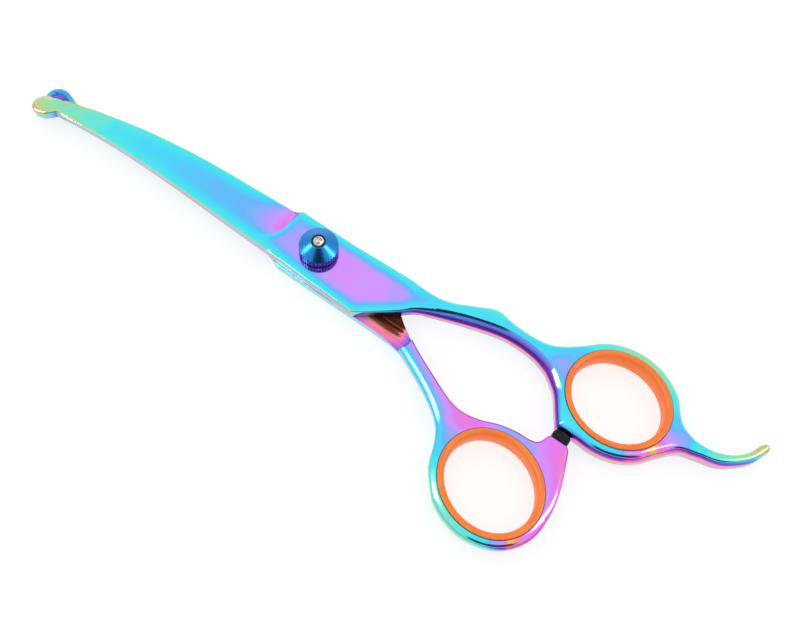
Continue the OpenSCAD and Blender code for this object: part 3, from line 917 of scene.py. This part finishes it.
THUMB_FILM = {
    "top": [
        (60, 4, 0.35), (40, 2, 0.42), (20, 1, 0.5), (0, 0, 0.66), (-15, 0, 0.66),
        *film_row(
            (-29, 4.1, 0.78), (-33, 6.5, 0.79), (-40, 9.8, 0.8), (-47, 12.7, 0.83),
            (-52, 13.2, 0.84),
        ),
        *film_row((-29.5, 5, 0.58), (-32.5, 7.3, 0.62), (-39.5, 10.6, 0.65), (-46.6, 13.6, 0.74)),
        *film_row((-32, 8.2, 0.44), (-39, 11.5, 0.46), (-45.5, 14.7, 0.54), (-49.6, 17.2, 0.74)),
        *film_row((-31.6, 9, 0.36), (-38.5, 12.4, 0.37), (-44.6, 15.8, 0.41), (-49, 20, 0.46)),
        *film_row(
            (-30, 8.9, 0.33), (-39, 13.3, 0.33), (-44, 16, 0.34), (-47.5, 19, 0.36),
            (-49.5, 23, 0.36),
        ),
        *film_row((-49.6, 15.2, 0.82), (-53, 15, 0.84), (-55.5, 13.2, 0.8), (-58.5, 11.6, 0.7)),
        *film_row((-51.3, 19, 0.62), (-51.4, 21.5, 0.5), (-51.6, 24.5, 0.4)),
        *film_row((-59, 11.8, 0.6), (-62, 10.9, 0.57), (-65.5, 10.5, 0.58), (-68, 10.6, 0.62)),
        (-70, 9, 0.76), (-72, 8, 0.82),
        *film_row(
            (-74, 9, 0.84), (-77, 13.5, 0.84), (-79, 19, 0.82), (-79.3, 24, 0.8),
            (-78.6, 28, 0.8),
        ),
        *film_row((-72.5, 12.5, 0.74), (-75, 16, 0.68), (-76.8, 20, 0.64), (-77.6, 24, 0.66)),
        (-76.8, 31, 0.9), (-75.6, 31.8, 1.0),
        (-73.5, 33, 0.6), (-70, 34.8, 0.36), (-66, 36.3, 0.25), (-62, 36.5, 0.2),
        (-57, 34.2, 0.18), (-54, 30, 0.24), (-51.8, 26.6, 0.34),
    ],
    "side": [
        (20, 6.8, 0.3), (5, 8.3, 0.32), (-8, 8.3, 0.32), (-22, 8.3, 0.34), (-29, 9, 0.35),
        (-39, 13.4, 0.33), (-47.5, 19.2, 0.4), (-51.2, 27.3, 0.3), (-55, 32.5, 0.2),
        (-60, 36.2, 0.17), (-66, 37.3, 0.18), (-70, 36.6, 0.22), (-73.5, 35, 0.38),
        (-76, 33.4, 0.66), (-79.5, 28, 0.82),
        (-80, 22, 0.84), (-79.2, 17.5, 0.84), (-76, 9, 0.86), (-74, 5.8, 0.8), (-70, 6, 0.9),
        (-68.7, 8.3, 0.96), (-64, 9.4, 0.88), (-58, 10.6, 0.8), (-51, 12.8, 0.82),
        (-44, 11.4, 0.8), (-36, 7.6, 0.78), (-30, 4.2, 0.72), (-25.4, 1.2, 0.6), (80, 1, 0.4),
        (77, 2.2, 0.42), (83.8, 4.3, 0.42), (60, -0.5, 0.13), (-10, -6.6, 0.13),
    ],
    "inner": [
        *film_row((-17.5, 7.8, 0.66), (-21, 7.8, 0.74), (-25, 8.1, 0.72), (-29, 8.2, 0.6)),
        (5, 8, 0.2), (-2, 8.1, 0.2), (-9, 8.1, 0.22), (-13, 8.1, 0.24), (-15.5, 8.1, 0.4),
        *film_row((-18, 6.9, 0.8), (-22, 6.9, 0.8), (-26, 7, 0.82), (-28.5, 7, 0.78)),
        *film_row((-18.5, 5.8, 0.92), (-22, 5.8, 0.93), (-26, 5.8, 0.93), (-28.8, 5.8, 0.86)),
        *film_row((-19, 4.6, 1.0), (-27.5, 4.4, 1.0)), *film_row((-21, 3.2, 1.0), (-27, 3.2, 1.0)),
        # At the rounded end of the recess the values drop to the dark indigo of the ground ramp: a
        # painted reflection of the dark end wall in the floor.
        *film_row((-28.4, 3.8, 0.8), (-30.6, 5.2, 0.5), (-31.4, 6.8, 0.48)), (-30, 7, 0.55),
        (-24, 1, 1.0), (-10, 0, 0.6), (10, 0, 0.5), (30, 1, 0.42), (60, 4, 0.35), (76, 5, 0.45),
        (81, 4.2, 0.7), (80, 3.6, 0.68), (79, 3.3, 0.6), (82, 3, 0.52),
        *film_row(
            (77, 2.6, 0.34), (79.3, 1.6, 0.33), (81, 1.3, 0.33), (83, 2.4, 0.33),
            (83.6, 4.3, 0.34),
        ),
        *film_row((78.3, 2.8, 0.48), (80, 2.3, 0.5), (81.5, 2.3, 0.48)),
    ],
}


def finger_side():
    """Upper half: blade, ear, shank, finger ring and tang. The far side of its ball slopes."""
    edge, back = curve(UPPER_EDGE), curve(UPPER_BACK)
    tip = curve(UPPER_TIP)
    far = (tip[:, 0] > FINGER_BALL[0]) & (tip[:, 1] < FINGER_BALL[1] + 0.7)
    stretches = [
        stretch(back[back[:, 0] < UPPER_TIP[-1][0] - 0.3], CRISP),
        stretch(tip[~far][::-1], TIP_SIDE),
        stretch(tip[far][::-1], TIP_SLOPE),
        stretch(edge[::-1], CRISP, TIP_SLOPE, fade=SLOPE_FADE_X),
        stretch(curve(FINGER_LOW), ROUND_SIDE, FLAT_EDGE, fade=BODY_FADE_X),
        stretch(oval(FINGER_RING, FINGER_RING["outer"], -42, -138, 50), ROUND_SIDE),
        stretch(curve(FINGER_TANG), TANG_SIDE, ROUND_SIDE, fade=TANG_FADE_X),
        stretch(oval(FINGER_RING, FINGER_RING["outer"], 142, 84, 32), ROUND_SIDE),
        stretch(curve(FINGER_HIGH[:4]), ROUND_SIDE, FACET_SIDE, fade=RING_FADE_X),
        stretch(curve(FINGER_HIGH[3:]), FACET_SIDE, FLAT_EDGE, fade=FACET_FADE_X),
        stretch(spaced([FINGER_HIGH[-1], FINGER_EAR[0]]), FACET_SIDE, FLAT_EDGE, fade=FACET_FADE_X),
        stretch(spaced(FINGER_EAR), FLAT_EDGE, CRISP, fade=EAR_FADE_X),
    ]
    holes = [oval(FINGER_RING, RING_HOLE, 0, 360, 161)[:-1], circle((0, 0), BUSHING_R)[:-1]]
    half = Half(
        stretches, holes, edge, back, FINGER_BALL, FINGER_RECESS, FINGER_RUN_OUT, False, FINGER_FILM
    )
    built = half.build("UpperHalf", 1, [COATED, GROUND])
    return piece(built, "finger_side", "coated_steel", "finger_half")


def thumb_side():
    """Lower half: toothed blade, ear, shank, thumb ring and nub."""
    edge, back = curve(LOWER_EDGE), curve(LOWER_BACK)
    low, tip, high = blade_and_ball(back, edge, THUMB_BALL)
    teeth = toothed(high[::-1], back)
    stretches = [
        stretch(teeth, CRISP),
        stretch(tip[::-1], TIP_SIDE),
        stretch(low[::-1], CRISP),
        stretch(spaced([(9.5, -6.6), THUMB_EAR[0]]), FLAT_EDGE),
        stretch(spaced([THUMB_EAR[0], THUMB_LOW[-1]]), FLAT_EDGE),
        stretch(curve(THUMB_LOW)[::-1], ROUND_SIDE, FLAT_EDGE, fade=THUMB_FADE_X),
        stretch(spaced([THUMB_LOW[0], THUMB_NUB[-1]]), NUB_END),
        stretch(curve(THUMB_NUB)[::-1], NUB_SIDE),
        stretch(oval(THUMB_RING, THUMB_RING["outer"], 205, 75, 66), ROUND_SIDE),
        stretch(curve(THUMB_HIGH)[::-1], ROUND_SIDE, FLAT_EDGE, fade=BODY_FADE_X),
    ]
    neck = circle((0, 0), NECK_R)[:-1]
    neck[:, 0] = np.clip(neck[:, 0], -NECK_FLAT, NECK_FLAT)
    holes = [oval(THUMB_RING, RING_HOLE, 0, 360, 161)[:-1], neck]
    half = Half(stretches, holes, edge, back, THUMB_BALL, THUMB_RECESS, None, True, THUMB_FILM)
    built = half.build("LowerHalf", -1, [COATED, GROUND])
    return piece(built, "thumb_side", "coated_steel", "thumb_half")


def ring_insert(name, ring, body, node, material):
    """Silicone insert: a sleeve with a rounded flange on each face of the metal ring."""
    flange, lap, wall = 0.5, 0.7, 1.0
    top = HALF_T + flange
    upper = [
        (0, HALF_T), (lap - 0.1, HALF_T), (lap, HALF_T + 0.1), (lap, top - 0.3),
        (lap - 0.08, top - 0.1), (lap - 0.25, top), (0.1, top), (-0.35, top - 0.12),
        (-0.7, top - 0.5), (-0.92, top - 1.1),
    ]
    section = upper + [(-wall, 1.2), (-wall, 0), (-wall, -1.2)] + [(x, -z) for x, z in upper[::-1]]
    sides = [oval(ring, (RING_HOLE[0] + x, RING_HOLE[1] + x), 0, 360, 181)[:-1] for x, _ in section]
    rings = [
        [(*sides[k][i], section[k][1]) for k in range(len(section))] for i in range(len(sides[0]))
    ]
    obj = swept(name, rings, [material], sharp=50)
    return piece(obj, body, "insert_rubber", node)


def revolved(profile, count, shape):
    """Sections of a profile turned round the pivot. Where a place in the profile has a third number,
    shape pushes it out by that share of its value at the angle."""
    rings = []
    for angle in np.linspace(0, 2 * math.pi, count, endpoint=False):
        ring = []
        for radius, z, *knurl in profile:
            r = radius + (shape(angle) * knurl[0] if knurl else 0)
            ring.append((r * math.cos(angle), r * math.sin(angle), z))
        rings.append(ring)
    return rings


def knob(material):
    """Tension knob: hollow base, knurled side, rolled rim, turned cone and the crystal's seat."""
    knurls, depth, body_r = 40, 0.22, 4.58
    base, rim, top = HALF_T + 0.1, HALF_T + 2.8, HALF_T + 4.8
    profile = [
        (2.05, base + 2.9), (2.05, base + 0.95), (4, base + 0.95), (4, base), (body_r - 0.1, base),
        (body_r, base + 0.12), (body_r, base + 0.2, 0.5), (body_r, base + 0.3, 1),
        (body_r, rim - 0.62, 1), (body_r, rim - 0.5, 0.4), (body_r - 0.06, rim - 0.42),
        (body_r + 0.1, rim - 0.34), (body_r + 0.17, rim - 0.24), (body_r + 0.17, rim - 0.14),
        (body_r + 0.1, rim - 0.08), (3.6, rim + 0.78), (2.6, rim + 1.52), (2.02, top - 0.06),
        (1.93, top), (1.72, top), (1.7, top - 0.05), (1.7, top - 0.7), (0.6, top - 0.7),
    ]

    def tooth(angle):
        swing = math.cos(knurls * angle)
        return depth * min(1, max(0, 0.5 + swing))

    obj = swept("Knob", revolved(profile, 320, tooth), [material], sharp=28)
    return piece(obj, "knob", "anodised_blue", "tension_knob")


def crystal(material):
    """Round crystal with a flat table and three rows of facets."""
    girdle_r, z = 1.4, HALF_T + 4.7
    facets = 12
    profile = [
        (0.02, 0.9, 0), (0.7, 0.86, 0), (1.1, 0.6, 0.5), (1.33, 0.25, 0), (girdle_r, 0.0, 0.5),
        (girdle_r, -0.4, 0.5), (0.02, -0.4, 0.5),
    ]
    rings = []
    for k in range(facets):
        ring = []
        for radius, rise, turn in profile:
            angle = 2 * math.pi * (k + turn) / facets
            ring.append((radius * math.cos(angle), radius * math.sin(angle), z + rise))
        rings.append(ring)
    obj = swept("Crystal", [r[::-1] for r in rings], [material], closed_section=False, sharp=5)
    return piece(obj, "knob", "crystal", "knob_crystal")


def bumper(material):
    """Rubber stop on the end of the nub: a cylinder with a groove and a rounded end."""
    x, y, radius, length, corner = -72.2, 5.8, 2.2, 2.6, 0.7
    profile = [
        (0.02, 2.9), (1.2, 2.9), (1.2, 0), (radius - 0.1, 0), (radius, -0.1), (radius, -0.5),
        (radius - 0.12, -0.65), (radius - 0.12, -0.8), (radius, -0.95),
    ]
    for angle in range(0, 91, 9):
        a = math.radians(angle)
        profile.append((radius - corner * (1 - math.cos(a)), corner * (1 - math.sin(a)) - length))
    profile.append((0.02, -length))
    rings = []
    for angle in np.linspace(0, 2 * math.pi, 48, endpoint=False):
        c, s = math.cos(angle), math.sin(angle)
        rings.append([(x + r * c, y + along, r * s) for r, along in profile])
    obj = swept("Bumper", rings, [material], closed_section=False, sharp=40)
    return piece(obj, "thumb_side", "bumper_rubber", "bumper")


def finish_cad_nodes():
    """Materials of the small CAD pieces that are kept as they are."""
    finishes = {
        "pivot_screw": ("screw_steel", "4a62c8", "6f8cf0", 1.0, 0.22),
        "pivot_bushing": ("nylon_natural", "e2dece", "eeeadc", 0.0, 0.45, 4000.0),
        "glide_washer": ("nylon_ivory", "e6e2d4", "f2efe4", 0.0, 0.45, 4000.0),
        "friction_washer": ("nylon_white", "e0e0dc", "f0f0ec", 0.0, 0.45, 4000.0),
        "spring_washer": ("spring_steel", "8c9098", "c4c8d0", 1.0, 0.25),
        "crystal_bezel": ("dark_bezel", "16181e", "343842", 1.0, 0.25),
    }
    for node, finish in finishes.items():
        material = turned(*finish).material
        for slot in frame["nodes"][node].material_slots:
            slot.material = material


# Studio


def floor():
    """Matt white table, lit a little from below so that the shadows stay faint."""
    m = Material("pale_floor", Roughness=0.9, Emission_Strength=0.74)
    cloud = m.noise(m.place(), 6.0, 2.0)
    base = m.ramp(cloud, [(0.3, "949494"), (0.7, "989898")])
    m.set(Base_Color=base, Emission_Color=(1, 1, 1, 1))
    size = 3.0
    low = cad_box[0].z
    mesh = bpy.data.meshes.new("Floor")
    corners = [(-size, -size, low), (size, -size, low), (size, size, low), (-size, size, low)]
    mesh.from_pydata(corners, [], [(0, 1, 2, 3)])
    mesh.materials.append(m.material)
    added("Floor", mesh)


def world():
    """White studio with a dark band near the horizon on the near side, and a small dark card."""
    studio = bpy.data.worlds.new("Studio")
    w = Nodes(studio)
    toward = w.place("Generated")
    height = w.along(toward, (0, 0, 1))
    near = w.along(toward, NEAR)
    band = w.math("MULTIPLY", w.span(height, 0.1, 0.14), w.span(height, 0.2, 0.24, 1, 0))
    band = w.math("MULTIPLY", band, w.span(near, 0.1, 0.7, 0.08, 0.97))
    level = w.math("SQRT", w.math("SUBTRACT", 1.0, w.math("MULTIPLY", height, height)))
    card = w.math("MULTIPLY", w.span(height, 0.45, 0.5), w.span(height, 0.78, 0.82, 1, 0))
    facing = w.math("DIVIDE", near, level)
    card = w.math("MULTIPLY", card, w.span(facing, 0.82, 0.9, 0, 0.95))
    light = w.math("SUBTRACT", 1.0, w.math("MAXIMUM", band, card))
    background = w.nodes["Background"].inputs
    w.feed(background["Color"], (1, 1, 1, 1))
    w.feed(background["Strength"], light)
    bpy.context.scene.world = studio


def lamp(name, place, aim, size, power):
    """Rectangular light that only polished surfaces see: the white streaks along them."""
    light = bpy.data.lights.new(name, "AREA")
    light.shape = "RECTANGLE"
    light.size, light.size_y = size
    light.energy = power
    obj = added(name, light)
    obj.visible_diffuse = False
    obj.location = place
    obj.rotation_euler = (Vector(aim) - Vector(place)).to_track_quat("-Z", "Y").to_euler()


def camera():
    """Camera at the photograph's angle, over the near side. Its place and directions were worked out
    from the ring ovals, the knob and the sides of the body."""
    place = Vector((-69.25, 86.5, 221.4)) * MM
    right = Vector((-0.81569, -0.57541, 0.05961))
    look = Vector((0.18296, -0.35436, -0.91704))
    data = bpy.data.cameras.new("Camera")
    data.lens = 45
    data.sensor_width = 36
    data.clip_start = 0.01
    obj = added("Camera", data)
    up = right.cross(look)
    turn = Matrix((right, up, -look)).transposed()
    obj.matrix_world = Matrix.Translation(place) @ turn.to_4x4()
    bpy.context.scene.camera = obj


finger_side()
thumb_side()
RUBBER = insert_rubber()
ring_insert("FingerInsert", FINGER_RING, "finger_side", "finger_ring_insert", RUBBER)
ring_insert("ThumbInsert", THUMB_RING, "thumb_side", "thumb_ring_insert", RUBBER)
knob(knob_blue())
crystal(crystal_clear())
bumper(bumper_rubber())
finish_cad_nodes()
floor()
world()
lamp("LeftSoftbox", place=(0.35, 0.28, 0.45), aim=(-0.04, 0, 0), size=(0.13, 0.5), power=2.2)
lamp("RightSoftbox", place=(-0.42, -0.16, 0.38), aim=(-0.06, 0, 0), size=(0.12, 0.4), power=1.0)
camera()
bpy.context.scene.view_settings.view_transform = "Standard"
